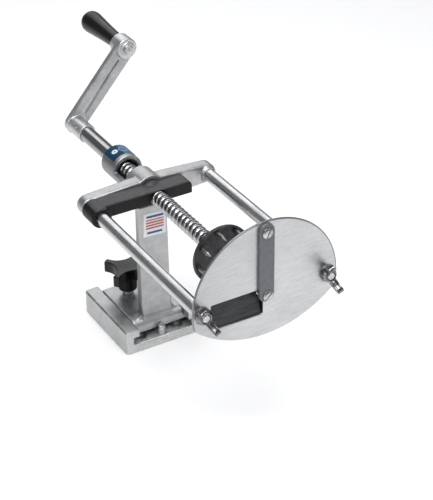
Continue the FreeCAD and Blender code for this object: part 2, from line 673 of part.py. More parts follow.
PARTS = {
    "mounting_base": mounting_base,
    "stop_pin": stop_pin,
    "frame_casting": frame_casting,
    "guide_rod_left": lambda: guide_rod(-ROD_X),
    "guide_rod_right": lambda: guide_rod(ROD_X),
    "rod_set_screws": rod_set_screws,
    "front_bush": front_bush,
    "turning_bush": turning_bush,
    "bush_ring": bush_ring,
    "collar_label": collar_label,
    "post_label": post_label,
    "half_nut_lever": half_nut_lever,
    "feed_screw": feed_screw,
    "pusher_disc": pusher_disc,
    "pusher_prongs": pusher_prongs,
    "pusher_screw": pusher_screw,
    "crank_arm": crank_arm,
    "crank_pin": crank_pin,
    "crank_grip": crank_grip,
    "grip_spindle": grip_spindle,
    "grip_ring": grip_ring,
    "face_plate": face_plate,
    "comb_bar": comb_bar,
    "scoring_blades": scoring_blades,
    "comb_screws": comb_screws,
    "comb_nut": comb_nut,
    "core_tube": core_tube,
    "slicing_blade": slicing_blade,
    "wing_nut_left": lambda: wing_nut(-ROD_X, WING_ANGLE_LEFT),
    "wing_nut_right": lambda: wing_nut(ROD_X, WING_ANGLE_RIGHT),
    "clamp_screw": clamp_screw,
    "clamp_pad": clamp_pad,
    "clamp_knob": clamp_knob,
}

os.makedirs("parts", exist_ok=True)
for name, make in PARTS.items():
    shape = make()
    count = len(shape.Solids)
    print(name, "solids", count, "volume", round(shape.Volume, 1), "valid", shape.isValid())
    shape.exportStep("parts/" + name + ".step")
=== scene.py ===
"""Looks of the hand-cranked spiral vegetable cutter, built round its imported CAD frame."""

import json
import math

import bmesh
import bpy
from mathutils import Matrix, Vector, noise


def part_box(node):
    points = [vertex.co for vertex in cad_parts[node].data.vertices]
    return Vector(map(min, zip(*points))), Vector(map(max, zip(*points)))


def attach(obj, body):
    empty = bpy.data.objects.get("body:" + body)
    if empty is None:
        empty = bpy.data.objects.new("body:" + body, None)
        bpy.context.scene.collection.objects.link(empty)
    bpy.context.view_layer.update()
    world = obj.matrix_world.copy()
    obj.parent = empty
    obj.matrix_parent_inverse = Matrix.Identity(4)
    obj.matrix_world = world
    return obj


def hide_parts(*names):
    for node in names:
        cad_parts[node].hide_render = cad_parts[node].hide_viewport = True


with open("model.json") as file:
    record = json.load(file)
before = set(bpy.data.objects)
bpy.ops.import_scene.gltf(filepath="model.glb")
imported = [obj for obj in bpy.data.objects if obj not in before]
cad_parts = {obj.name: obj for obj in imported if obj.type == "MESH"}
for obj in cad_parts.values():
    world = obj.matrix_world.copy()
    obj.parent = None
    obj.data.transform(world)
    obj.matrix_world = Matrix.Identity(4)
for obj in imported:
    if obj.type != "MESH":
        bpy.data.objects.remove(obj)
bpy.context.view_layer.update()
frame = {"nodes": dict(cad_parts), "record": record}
NODES = frame["nodes"]
MM = 0.001
SCENE = bpy.context.scene


def middle(node):
    """Centre of a CAD node's box."""
    low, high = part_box(node)
    return (low + high) / 2


AXIS = middle("feed_screw")          # the feed screw's own axis gives x and z
THREAD_PITCH = 6.35 * MM
THREAD_DEPTH = 2.1 * MM
THREAD_RUNOUT = 5.0 * MM             # length over which the thread fades into the plain shank
TURNED_SIDES = 64                    # facets round a turned piece
THREAD_SIDES = 56
THREAD_ROWS = 20                     # mesh rows along one pitch
SHARP_ANGLE = math.radians(38)
CURVE_STEPS = 6                      # curve points from one given point to the next
LINES_ALONG_Y = (1500.0, 50.0, 1500.0)   # noise scales of a rod drawn or ground along Y
SPINDLE_BORE_R = 4.2 * MM            # the visible grip's bore, 0.12 mm wider than the part's

# sizes and angles repeated from the part
BASE_FLOOR = 9.0 * MM                # top of the base's floor
GROOVE_HALF = 33.3 * MM              # half the width of the base's slot under its lips
FOOT_TOP = 26.0 * MM
POST_HALF = 16.3 * MM                # half the post's width at its foot
POST_FRONT = -29.3 * MM
POST_BACK = -20.9 * MM
BAR_FRONT = -26.0 * MM
ARM_SETBACK = 25.3 * MM              # from the crank hub's front to its arm's front face
HUB_GAP = 0.2 * MM                   # between the screw's shoulder and the crank's hub
SCREW_TAIL_R = 6.0 * MM
WING_ANGLES = {"left": -62.0, "right": -69.0}   # degrees from +X towards +Z


# ---- mesh helpers ----
def new_object(name, mesh):
    """Object with the given mesh, linked to the scene."""
    obj = bpy.data.objects.new(name, mesh)
    SCENE.collection.objects.link(obj)
    return obj


def from_bmesh(name, bm, smooth=True):
    """Object made from the bmesh, smooth but for the edges sharper than SHARP_ANGLE."""
    bmesh.ops.recalc_face_normals(bm, faces=bm.faces)
    mesh = bpy.data.meshes.new(name)
    bm.to_mesh(mesh)
    bm.free()
    if smooth:
        mesh.shade_smooth()
        mesh.set_sharp_from_angle(angle=SHARP_ANGLE)
    return new_object(name, mesh)


def apply_modifiers(obj):
    """Replaces the object's mesh with the result of its modifiers."""
    depsgraph = bpy.context.evaluated_depsgraph_get()
    result = bpy.data.meshes.new_from_object(obj.evaluated_get(depsgraph))
    old = obj.data
    obj.modifiers.clear()
    obj.data = result
    bpy.data.meshes.remove(old)


def recast(name, node, voxel, rounds, keep, extra=None, displace=None):
    """Copy of a CAD node with its edges rounded as a casting's are.

    voxel is the remesh size in mm, rounds the number of smoothing passes, keep the
    share of faces kept, extra a function that adds solids to the bmesh first, and
    displace a function that gives each vertex its offset.
    """
    bm = bmesh.new()
    bm.from_mesh(NODES[node].data)
    bmesh.ops.remove_doubles(bm, verts=bm.verts, dist=1e-6)
    if extra:
        extra(bm)
    obj = from_bmesh(name, bm)
    obj.data.materials.clear()
    remesh = obj.modifiers.new("remesh", "REMESH")
    remesh.mode = "VOXEL"
    remesh.voxel_size = voxel * MM
    smooth = obj.modifiers.new("round", "SMOOTH")
    smooth.factor = 0.5
    smooth.iterations = rounds
    apply_modifiers(obj)
    if displace:
        for vertex in obj.data.vertices:
            vertex.co += displace(vertex.co)
    thin = obj.modifiers.new("thin", "DECIMATE")
    thin.ratio = keep
    relax = obj.modifiers.new("relax", "SMOOTH")
    relax.factor = 0.3
    relax.iterations = 2
    apply_modifiers(obj)
    obj.data.shade_smooth()
    return obj


def add_turned(bm, centre, profile, closed=False):
    """Adds a solid of revolution about the Y line through centre, from (y, radius) pairs.

    A closed profile is a ring's section; an open one starts and ends on the axis.
    """
    rings = []
    for y, radius in profile:
        if radius == 0:
            rings.append([bm.verts.new((centre.x, y, centre.z))])
            continue
        ring = []
        for i in range(TURNED_SIDES):
            angle = 2 * math.pi * i / TURNED_SIDES
            ring.append(bm.verts.new((centre.x + radius * math.sin(angle), y,
                                      centre.z + radius * math.cos(angle))))
        rings.append(ring)
    pairs = list(zip(rings, rings[1:]))
    if closed:
        pairs.append((rings[-1], rings[0]))
    for a, b in pairs:
        for i in range(TURNED_SIDES):
            j = (i + 1) % TURNED_SIDES
            corners = [a[i % len(a)], a[j % len(a)], b[j % len(b)], b[i % len(b)]]
            bm.faces.new(list(dict.fromkeys(corners)))


def lathe(name, centre, profile):
    """Turned piece about the Y line through centre, from its open profile."""
    bm = bmesh.new()
    add_turned(bm, centre, profile)
    return from_bmesh(name, bm)


def curve_profile(points):
    """Catmull-Rom points through the given (y, radius) pairs."""
    out = []
    padded = [points[0]] + points + [points[-1]]
    for i in range(1, len(padded) - 2):
        p0, p1, p2, p3 = (Vector(padded[i + k]) for k in (-1, 0, 1, 2))
        for s in range(CURVE_STEPS):
            t = s / CURVE_STEPS
            q = 0.5 * ((2 * p1) + (p2 - p0) * t + (2 * p0 - 5 * p1 + 4 * p2 - p3) * t * t
                       + (3 * p1 - p0 - 3 * p2 + p3) * t ** 3)
            out.append((q.x, max(q.y, 0.0)))
    out.append(tuple(points[-1]))
    return out


def ridge(phase):
    """Height of the rounded thread, 0 at the root to 1 at the crest, over one pitch."""
    width = 0.76                     # share of the pitch that the ridge takes
    away = abs(phase % 1.0 - 0.5) * 2 / width
    return math.sqrt(max(0.0, 1 - away * away))


def threaded_rod(name, centre, y_low, y_high, root, crest):
    """Right-hand thread as one closed mesh whose rows follow the helix."""
    bm = bmesh.new()
    first = math.floor(y_low / THREAD_PITCH) - 2
    last = math.ceil(y_high / THREAD_PITCH) + 1
    count = (last - first) * THREAD_ROWS
    grid = []
    for i in range(THREAD_SIDES):
        angle = 2 * math.pi * i / THREAD_SIDES
        column = []
        for j in range(count):
            phase = j / THREAD_ROWS
            y = (first + phase + i / THREAD_SIDES) * THREAD_PITCH
            radius = root + (crest - root) * ridge(phase)
            fill = min(1.0, max(0.0, (y - (y_high - THREAD_RUNOUT)) / THREAD_RUNOUT))
            radius += (crest - radius) * fill
            column.append(bm.verts.new((centre.x + radius * math.sin(angle), y,
                                        centre.z + radius * math.cos(angle))))
        grid.append(column)
    for i in range(THREAD_SIDES):
        shift = THREAD_ROWS if i == THREAD_SIDES - 1 else 0
        following = grid[(i + 1) % THREAD_SIDES]
        for j in range(count - 1 - shift):
            bm.faces.new((grid[i][j], grid[i][j + 1], following[j + 1 + shift], following[j + shift]))
    for y, away in ((y_low, -1), (y_high, 1)):
        everything = bm.verts[:] + bm.edges[:] + bm.faces[:]
        cut = bmesh.ops.bisect_plane(bm, geom=everything, plane_co=(0, y, 0), plane_no=(0, away, 0),
                                     clear_outer=True, dist=1e-7)
        rim = [g for g in cut["geom_cut"] if isinstance(g, bmesh.types.BMEdge)]
        bmesh.ops.holes_fill(bm, edges=rim, sides=0)
    loose = [v for v in bm.verts if not v.link_faces]
    bmesh.ops.delete(bm, geom=loose, context="VERTS")
    return from_bmesh(name, bm)


def add_prism(bm, corners, along):
    """Adds a closed prism: the corners' flat outline pushed along a vector."""
    near = [bm.verts.new(c) for c in corners]
    far = [bm.verts.new(Vector(c) + Vector(along)) for c in corners]
    n = len(corners)
    bm.faces.new(near)
    bm.faces.new(list(reversed(far)))
    for i in range(n):
        j = (i + 1) % n
        bm.faces.new((near[j], near[i], far[i], far[j]))


# ---- material helpers ----
class Paint:
    """Small builder for one procedural material on a Principled shader."""

    def __init__(self, name, metallic=0.0, roughness=0.5):
        self.material = bpy.data.materials.new(name)
        self.material.use_nodes = True
        self.tree = self.material.node_tree
        self.shader = self.tree.nodes["Principled BSDF"]
        self.shader.inputs["Metallic"].default_value = metallic
        self.shader.inputs["Roughness"].default_value = roughness
        self.place = self.node("ShaderNodeTexCoord").outputs["Object"]

    def node(self, kind, **settings):
        made = self.tree.nodes.new(kind)
        for key, value in settings.items():
            setattr(made, key, value)
        return made

    def link(self, out, into):
        self.tree.links.new(out, into)

    def stretch(self, scale):
        """Object coordinates scaled along each axis."""
        mapping = self.node("ShaderNodeMapping")
        mapping.inputs["Scale"].default_value = scale
        self.link(self.place, mapping.inputs["Vector"])
        return mapping.outputs["Vector"]

    def noise(self, scale, detail=4.0, rough=0.55, at=None):
        made = self.node("ShaderNodeTexNoise")
        made.inputs["Scale"].default_value = scale
        made.inputs["Detail"].default_value = detail
        made.inputs["Roughness"].default_value = rough
        self.link(at or self.place, made.inputs["Vector"])
        return made.outputs["Fac"]

    def ramp(self, value, low, high, out_low=0.0, out_high=1.0):
        made = self.node("ShaderNodeMapRange", interpolation_type="SMOOTHSTEP")
        made.inputs["From Min"].default_value = low
        made.inputs["From Max"].default_value = high
        made.inputs["To Min"].default_value = out_low
        made.inputs["To Max"].default_value = out_high
        self.link(value, made.inputs["Value"])
        return made.outputs["Result"]

    def math(self, operation, a, b=None):
        made = self.node("ShaderNodeMath", operation=operation)
        for socket, value in zip(made.inputs, (a, b)):
            if value is None:
                continue
            if isinstance(value, (int, float)):
                socket.default_value = value
            else:
                self.link(value, socket)
        return made.outputs["Value"]

    def length(self, a, b):
        """Length of the vector whose two components are given."""
        return self.math("SQRT", self.math("ADD", self.math("MULTIPLY", a, a), self.math("MULTIPLY", b, b)))

    def mix(self, factor, a, b):
        made = self.node("ShaderNodeMix", data_type="RGBA")
        self.link(factor, made.inputs["Factor"])
        for socket, value in ((made.inputs["A"], a), (made.inputs["B"], b)):
            if isinstance(value, tuple):
                socket.default_value = (*value, 1.0)
            else:
                self.link(value, socket)
        return made.outputs["Result"]

    def axes(self, vector=None):
        """The x, y and z of a vector, or of the object coordinates."""
        made = self.node("ShaderNodeSeparateXYZ")
        self.link(vector or self.place, made.inputs["Vector"])
        return made.outputs

    def worn(self, low, high):
        """Mask that is 1 on sharp outer edges."""
        pointed = self.node("ShaderNodeNewGeometry").outputs["Pointiness"]
        return self.ramp(pointed, low, high)

    def bump(self, *layers):
        """Layers are (height, strength, distance in mm), deepest first."""
        normal = None
        for height, strength, distance in layers:
            made = self.node("ShaderNodeBump")
            made.inputs["Strength"].default_value = strength
            made.inputs["Distance"].default_value = distance * MM
            self.link(height, made.inputs["Height"])
            if normal:
                self.link(normal, made.inputs["Normal"])
            normal = made.outputs["Normal"]
        self.link(normal, self.shader.inputs["Normal"])

    def color(self, value):
        self.link(value, self.shader.inputs["Base Color"])

    def rough(self, value):
        self.link(value, self.shader.inputs["Roughness"])


def cast_metal(name, light, dark, roughness, grain=900.0, depth=0.08, wear=None, shade=None, shade_tone=0.4,
               painted_light=None):
    """Fettled casting: soft blotches, fine sand grain, faint file marks and brighter edges."""
    p = Paint(name, metallic=0.95, roughness=roughness)
    blotch = p.noise(70.0, 5.0, 0.62)
    fine = p.noise(grain, 6.0, 0.7)
    sand = p.noise(grain * 2.4, 3.0, 0.6)
    filed = p.noise(1.0, 3.0, 0.6, at=p.stretch((260.0, 1500.0, 420.0)))
    tone = p.math("ADD", p.math("MULTIPLY", blotch, 0.55), p.math("MULTIPLY", fine, 0.45))
    color = p.mix(p.ramp(tone, 0.34, 0.66), dark, light)
    color = p.mix(p.ramp(sand, 0.54, 0.72, 0.0, 0.60), color, tuple(0.55 * c for c in dark))
    color = p.mix(p.ramp(filed, 0.50, 0.70, 0.0, 0.22), color, tuple(0.75 * c for c in dark))
    pointed = p.node("ShaderNodeNewGeometry").outputs["Pointiness"]
    color = p.mix(p.ramp(pointed, 0.42, 0.485, 0.65, 0.0), color, tuple(0.30 * c for c in dark))
    if wear:
        wear_and_top_light = p.math("MULTIPLY", p.ramp(pointed, 0.52, 0.575), p.ramp(blotch, 0.38, 0.55, 0.3, 1.0))
        color = p.mix(wear_and_top_light, color, wear)
    if shade:
        color = p.mix(shade(p), color, tuple(shade_tone * c for c in dark))
    # painted light: the surface is lightened where the mask is set
    if painted_light:
        color = p.mix(painted_light(p), color, p.mix(p.ramp(fine, 0.4, 0.6), light, (0.88, 0.88, 0.88)))
    p.color(color)
    p.rough(p.ramp(p.math("ADD", fine, p.math("MULTIPLY", blotch, 0.6)), 0.55, 1.1,
                   roughness - 0.06, roughness + 0.12))
    p.bump((blotch, 0.22, 0.35), (filed, 0.12, 0.06), (fine, 0.55, depth), (sand, 0.4, depth * 0.4))
    return p.material


def drawn_metal(name, light, dark, roughness, stretch, smudge=0.3, shade=None):
    """Ground, turned or brushed metal with fine lines along one axis and faint smudges."""
    p = Paint(name, metallic=1.0, roughness=roughness)
    lines = p.noise(1.0, 4.0, 0.6, at=p.stretch(stretch))
    broad = p.noise(1.0, 3.0, 0.5, at=p.stretch(tuple(0.3 * s for s in stretch)))
    cloud = p.noise(42.0, 4.0, 0.55)
    nick = p.noise(420.0, 2.0, 0.4)
    tone = p.math("ADD", p.math("MULTIPLY", lines, 0.6), p.math("MULTIPLY", broad, 0.4))
    color = p.mix(p.ramp(tone, 0.36, 0.62), dark, light)
    color = p.mix(p.ramp(cloud, 0.50, 0.72, 0.0, smudge), color, tuple(0.72 * c for c in dark))
    color = p.mix(p.ramp(nick, 0.70, 0.78, 0.0, 0.35), color, tuple(0.55 * c for c in dark))
    if shade:
        color = p.mix(shade(p), color, tuple(0.34 * c for c in dark))
    p.color(color)
    mixed = p.math("ADD", p.math("MULTIPLY", lines, 0.5), p.math("MULTIPLY", cloud, 0.5))
    p.rough(p.ramp(mixed, 0.35, 0.65, roughness - 0.05, roughness + 0.09))
    p.bump((cloud, 0.12, 0.10), (lines, 0.35, 0.006))
    return p.material


def plain_metal(name, light, dark, roughness, depth=0.03, metallic=1.0, corner_dark=0.5):
    """Small steel piece: mottled, slightly pitted, darker in its corners."""
    p = Paint(name, metallic=metallic, roughness=roughness)
    mottle = p.noise(260.0, 5.0, 0.6)
    fine = p.noise(1400.0, 4.0, 0.6)
    color = p.mix(p.ramp(mottle, 0.34, 0.66), dark, light)
    hollow = p.ramp(p.node("ShaderNodeNewGeometry").outputs["Pointiness"], 0.40, 0.49, corner_dark, 0.0)
    color = p.mix(hollow, color, tuple(0.30 * c for c in dark))
    p.color(color)
    p.rough(p.ramp(fine, 0.3, 0.7, roughness - 0.06, roughness + 0.12))
    p.bump((mottle, 0.3, depth * 3), (fine, 0.4, depth))
    return p.material


def black_coat(name, tone, wear_and_top_light_tone, roughness, grain, depth, edge=(0.53, 0.60), specular=0.5,
               wear_and_top_light=None):
    """Black enamel or moulded plastic with a fine grain, lighter worn edges and an optional painted light on
    its top.
    """
    p = Paint(name, metallic=0.0, roughness=roughness)
    p.shader.inputs["Specular IOR Level"].default_value = specular
    fine = p.noise(grain, 5.0, 0.6)
    cloud = p.noise(45.0, 4.0, 0.5)
    speck = p.noise(grain * 0.45, 2.0, 0.5)
    scuff = p.noise(1.0, 3.0, 0.6, at=p.stretch((160.0, 900.0, 900.0)))
    color = p.mix(p.ramp(cloud, 0.35, 0.7), tuple(0.7 * c for c in tone), tone)
    # painted light: the masked top face is lightened
    if wear_and_top_light:
        patchy = p.ramp(p.math("ADD", cloud, scuff), 0.70, 1.25, 0.45, 1.0)
        color = p.mix(p.math("MULTIPLY", wear_and_top_light(p), patchy), color, wear_and_top_light_tone)
    color = p.mix(p.ramp(speck, 0.66, 0.74, 0.0, 0.35), color, wear_and_top_light_tone)
    color = p.mix(p.math("MULTIPLY", p.worn(*edge), p.ramp(cloud, 0.3, 0.6, 0.25, 1.0)), color, wear_and_top_light_tone)
    p.color(color)
    p.rough(p.ramp(p.math("ADD", fine, cloud), 0.7, 1.3, roughness - 0.07, roughness + 0.12))
    p.bump((cloud, 0.2, 0.3), (fine, 0.6, depth))
    return p.material


def thread_metal(name):
    """Bright crests over roots darkened with painted shade, told apart by the distance from the axis."""
    p = Paint(name, metallic=1.0, roughness=0.2)
    x, _, z = p.axes()
    rise = p.math("SUBTRACT", z, AXIS.z)
    away = p.length(x, rise)
    cloud = p.noise(120.0, 4.0, 0.55)
    fine = p.noise(900.0, 3.0, 0.5)
    bright = p.mix(p.ramp(cloud, 0.35, 0.65), (0.36, 0.36, 0.365), (0.48, 0.48, 0.485))
    height = p.math("ADD", away, p.math("MULTIPLY", p.math("SUBTRACT", cloud, 0.5), 0.8 * MM))
    # painted shade: the roots are darkened nearly to black
    color = p.mix(p.ramp(height, 5.9 * MM, 7.3 * MM), (0.035, 0.034, 0.033), bright)
    p.color(color)
    p.rough(p.ramp(away, 5.9 * MM, 7.4 * MM, 0.50, 0.17))
    p.bump((cloud, 0.10, 0.15), (fine, 0.08, 0.01))
    return p.material


def bar_label(name):
    """White sticker with plain coloured bars, in the label's own tilted axes."""
    p = Paint(name, roughness=0.42)
    centre = middle("post_label")
    mapping = p.node("ShaderNodeMapping", vector_type="TEXTURE")
    mapping.inputs["Location"].default_value = centre
    mapping.inputs["Rotation"].default_value = (0, math.radians(3.0), 0)
    mapping.inputs["Scale"].default_value = (MM, MM, MM)
    p.link(p.place, mapping.inputs["Vector"])
    x, _, z = p.axes(mapping.outputs["Vector"])

    def inside(value, low, high):
        above = p.ramp(value, low - 0.12, low + 0.12)
        below = p.ramp(value, high - 0.12, high + 0.12, 1.0, 0.0)
        return p.math("MULTIPLY", above, below)

    fleck = p.noise(500.0, 3.0)
    paper = p.mix(p.ramp(fleck, 0.3, 0.7), (0.78, 0.79, 0.80), (0.88, 0.88, 0.88))
    stripes = p.math("FRACT", p.math("MULTIPLY", p.math("ADD", z, 40.0), 1 / 2.9))
    red = p.math("MULTIPLY", inside(stripes, 0.22, 0.78),
                 p.math("MULTIPLY", inside(x, -9.4, 9.4), inside(z, -5.4, 5.4)))
    blue = p.math("MULTIPLY", inside(x, -9.0, 9.0), inside(z, 7.2, 9.6))
    foot = p.math("MULTIPLY", inside(x, -8.0, 8.0), inside(z, -9.8, -7.6))
    color = p.mix(red, paper, (0.50, 0.035, 0.035))
    color = p.mix(p.math("MAXIMUM", blue, foot), color, (0.03, 0.05, 0.28))
    p.color(color)
    p.rough(p.ramp(fleck, 0.3, 0.7, 0.32, 0.5))
    p.bump((fleck, 0.2, 0.03))
    return p.material


def collar_paint(name):
    """Blue strip with a lighter field and a plain white disc and ring."""
    p = Paint(name, roughness=0.5)
    p.shader.inputs["Specular IOR Level"].default_value = 0.12
    low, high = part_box("collar_label")
    y = (low.y + high.y) / 2
    radius = high.z - AXIS.z

    def spot(degrees):
        angle = math.radians(degrees)
        made = p.node("ShaderNodeVectorMath", operation="DISTANCE")
        p.link(p.place, made.inputs[0])
        x = AXIS.x + radius * math.cos(angle)
        z = AXIS.z + radius * math.sin(angle)
        made.inputs[1].default_value = (x, y, z)
        return made.outputs["Value"]

    def disc(distance, size):
        return p.ramp(distance, (size - 0.2) * MM, (size + 0.2) * MM, 1.0, 0.0)

    def ring(distance, inner, outer):
        return p.math("SUBTRACT", disc(distance, outer), disc(distance, inner))

    cloud = p.noise(300.0, 3.0)
    deep = p.mix(p.ramp(cloud, 0.3, 0.7), (0.003, 0.026, 0.060), (0.005, 0.034, 0.078))
    pale = p.mix(p.ramp(cloud, 0.3, 0.7), (0.055, 0.10, 0.18), (0.10, 0.15, 0.24))
    right = p.ramp(p.axes()["X"], -0.5 * MM, 1.5 * MM)
    color = p.mix(right, deep, pale)
    mark = spot(111.0)
    color = p.mix(disc(mark, 3.1), color, (0.55, 0.60, 0.66))
    color = p.mix(disc(mark, 1.0), color, (0.01, 0.04, 0.09))
    color = p.mix(ring(spot(78.0), 3.6, 4.6), color, (0.20, 0.27, 0.38))
    p.color(color)
    p.rough(p.ramp(cloud, 0.3, 0.7, 0.42, 0.56))
    p.bump((cloud, 0.15, 0.02))
    return p.material


# ---- materials ----
def rail_line(p):
    """Dark line along the outer top edges of the base's two rails."""
    low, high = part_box("mounting_base")
    x, _, z = p.axes()
    edge = p.math("SUBTRACT", (high.x - low.x) / 2, p.math("ABSOLUTE", x))
    near = p.ramp(edge, 0.9 * MM, 2.0 * MM, 1.0, 0.0)
    high_up = p.ramp(z, high.z - 1.9 * MM, high.z - 1.1 * MM)
    patchy = p.ramp(p.noise(160.0, 3.0), 0.3, 0.6, 0.35, 0.85)
    return p.math("MULTIPLY", patchy, p.math("MULTIPLY", near, high_up))


def painted_side_shade(p):
    """Painted shade on the post's sides and rib, and on the barrel's flanks."""
    x, y, z = p.axes()
    aside = p.math("ABSOLUTE", x)
    out = p.ramp(aside, 14.9 * MM, 15.6 * MM)
    behind = p.ramp(y, -25.0 * MM, -22.0 * MM)
    above_foot = p.ramp(z, FOOT_TOP + 1 * MM, FOOT_TOP + 4 * MM)
    below_bar = p.ramp(z, AXIS.z - 14 * MM, AXIS.z - 12 * MM, 1.0, 0.0)
    in_front = p.ramp(y, 0.0, 2.0 * MM, 1.0, 0.0)
    post = p.math("MULTIPLY", p.math("MAXIMUM", out, behind), p.math("MULTIPLY", above_foot, below_bar))
    barrel = p.math("MULTIPLY", p.ramp(aside, 8.0 * MM, 13.0 * MM, 0.0, 0.8),
                    p.math("MULTIPLY", p.ramp(y, -9.0 * MM, -2.0 * MM), p.ramp(z, 80 * MM, 100 * MM)))
    return p.math("MAXIMUM", p.math("MULTIPLY", post, in_front), barrel)


def painted_base_light(p):
    """Painted light on the base's rough channel floor and on its front face."""
    x, y, z = p.axes()
    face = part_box("mounting_base")[0].y
    front = p.ramp(y, face + 0.5 * MM, face + 1.5 * MM, 0.42, 0.0)
    low_down = p.ramp(z, BASE_FLOOR + 0.4 * MM, BASE_FLOOR + 1.4 * MM, 1.0, 0.0)
    high_up = p.ramp(z, BASE_FLOOR - 1.0 * MM, BASE_FLOOR - 0.2 * MM)
    inside = p.ramp(p.math("ABSOLUTE", x), GROOVE_HALF - 0.3 * MM, GROOVE_HALF + 1.2 * MM, 1.0, 0.0)
    floor = p.math("MULTIPLY", p.math("MULTIPLY", low_down, inside), high_up)
    return p.math("MAXIMUM", front, floor)


def crank_painted_light(p):
    """Painted light: the crank's turned eye and hub, its groove and its sides, all lighter than the arm's
    face.
    """
    x, y, z = p.axes()
    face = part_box("crank_arm")[0].y + ARM_SETBACK
    behind = p.ramp(y, face + 0.9 * MM, face + 1.4 * MM, 0.0, 0.4)
    eye = middle("grip_spindle")
    masks = []
    for centre in (eye, AXIS):
        away = p.length(p.math("SUBTRACT", x, centre.x), p.math("SUBTRACT", z, centre.z))
        masks.append(p.ramp(away, 10.2 * MM, 11.6 * MM, 0.5, 0.0))
    return p.math("MAXIMUM", behind, p.math("MAXIMUM", *masks))


def lever_top_light(p):
    """Painted light on the lever's upper face, lighter where the light from above falls."""
    return p.ramp(p.axes()["Z"], AXIS.z + 7.6 * MM, AXIS.z + 8.8 * MM)


def plate_painted_shade(p):
    """Painted shade: a dark line round the plate's edge, faint dark rings under the wing nuts and a darker
    left side.
    """
    x, _, z = p.axes()
    rise = p.math("SUBTRACT", z, AXIS.z)
    rim = p.ramp(p.length(x, rise), 69.0 * MM, 69.6 * MM, 0.0, 0.8)
    side = p.math("SUBTRACT", p.math("ABSOLUTE", x), middle("guide_rod_right").x)
    near = p.length(side, rise)
    ring = p.math("MULTIPLY", p.ramp(near, 7.2 * MM, 7.9 * MM), p.ramp(near, 8.2 * MM, 9.6 * MM, 1.0, 0.0))
    patchy = p.ramp(p.noise(120.0, 3.0), 0.42, 0.62, 0.0, 0.55)
    left = p.ramp(p.math("ADD", x, p.math("MULTIPLY", rise, 0.25)), -72.0 * MM, 10.0 * MM, 0.20, 0.0)
    return p.math("MAXIMUM", p.math("MAXIMUM", rim, left), p.math("MULTIPLY", ring, patchy))


MATERIALS = {
    # base_casting carries painted light on its channel floor and front face
    "base_casting": cast_metal("base_casting", (0.53, 0.535, 0.535), (0.37, 0.375, 0.375), 0.38,
                               grain=800.0, depth=0.20, wear=(0.70, 0.70, 0.70), shade=rail_line,
                               shade_tone=0.25, painted_light=painted_base_light),
    # grey_enamel carries painted shade on the post's sides and the barrel's flanks
    "grey_enamel": cast_metal("grey_enamel", (0.54, 0.545, 0.55), (0.36, 0.365, 0.37), 0.40,
                              grain=950.0, depth=0.20, wear=(0.60, 0.60, 0.605), shade=painted_side_shade,
                              shade_tone=0.55),
    # crank_plate carries painted light on the eye, hub, groove and sides
    "crank_plate": cast_metal("crank_plate", (0.52, 0.525, 0.53), (0.30, 0.305, 0.31), 0.34,
                              grain=900.0, depth=0.22, wear=(0.72, 0.72, 0.725), painted_light=crank_painted_light),
    "plated_rod": drawn_metal("plated_rod", (0.56, 0.565, 0.57), (0.46, 0.465, 0.47), 0.23,
                              LINES_ALONG_Y, smudge=0.3),
    "screw_steel": thread_metal("screw_steel"),
    # plate_steel carries painted shade round its rim, under the wing nuts and on its left side
    "plate_steel": drawn_metal("plate_steel", (0.60, 0.605, 0.615), (0.50, 0.505, 0.515), 0.36,
                               (260.0, 900.0, 2200.0), smudge=0.12, shade=plate_painted_shade),
    "blade_steel": drawn_metal("blade_steel", (0.11, 0.113, 0.118), (0.07, 0.072, 0.076), 0.38,
                               (70.0, 1200.0, 1200.0)),
    "comb_grey": plain_metal("comb_grey", (0.165, 0.17, 0.182), (0.145, 0.15, 0.16), 0.44,
                             metallic=0.55, corner_dark=0.2),
    "disc_plate": plain_metal("disc_plate", (0.062, 0.062, 0.064), (0.036, 0.036, 0.038), 0.40,
                              metallic=0.7, corner_dark=0.3),
    "bright_steel": plain_metal("bright_steel", (0.56, 0.565, 0.57), (0.38, 0.385, 0.39), 0.26),
    "zinc_steel": plain_metal("zinc_steel", (0.58, 0.585, 0.59), (0.36, 0.365, 0.37), 0.34),
    "nut_chrome": plain_metal("nut_chrome", (0.30, 0.30, 0.296), (0.12, 0.12, 0.117), 0.15, depth=0.02),
    "dark_bush": plain_metal("dark_bush", (0.05, 0.05, 0.052), (0.03, 0.03, 0.031), 0.4,
                             metallic=0.3, corner_dark=0.0),
    # black_lever carries painted light on the lever's top face
    "black_lever": black_coat("black_lever", (0.0045, 0.0045, 0.0055), (0.056, 0.056, 0.060), 0.42, 1100.0,
                              0.06, specular=0.25, wear_and_top_light=lever_top_light),
    "black_plastic": black_coat("black_plastic", (0.0028, 0.0028, 0.0032), (0.018, 0.018, 0.019), 0.25,
                                1600.0, 0.012, edge=(0.55, 0.65), specular=0.30),
    "white_label": bar_label("white_label"),
    "blue_label": collar_paint("blue_label"),
}

RECORD_SLOTS = {entry["node"]: entry["material_slot"] for entry in frame["record"]["subparts"]}
SHANK_STEEL = drawn_metal("shank_steel", (0.36, 0.36, 0.363), (0.26, 0.26, 0.263), 0.17,
                          LINES_ALONG_Y, smudge=0.25)
DULL_STEEL = plain_metal("dull_steel", (0.30, 0.30, 0.305), (0.17, 0.17, 0.175), 0.36)
for node, obj in NODES.items():
    obj.data.materials.clear()
    obj.data.materials.append(DULL_STEEL if node == "pusher_prongs" else MATERIALS[RECORD_SLOTS[node]])


def mount(obj, body, slot, *nodes):
    """Gives a finished piece the material of a record slot, parents it to its body and hides the CAD nodes it
    stands for.
    """
    obj.data.materials.clear()
    obj.data.materials.append(MATERIALS[slot])
    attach(obj, body)
    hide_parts(*nodes)


# ---- castings ----
def hammered(size, depth):
    """Function that pulls a vertex inwards by up to depth mm, in soft dents size mm wide."""
    def offset(co):
        amount = 0.5 + 0.5 * noise.noise(co / (size * MM))
        return -Vector((co.x, co.y, co.z - AXIS.z / 3)).normalized() * amount * depth * MM
    return offset


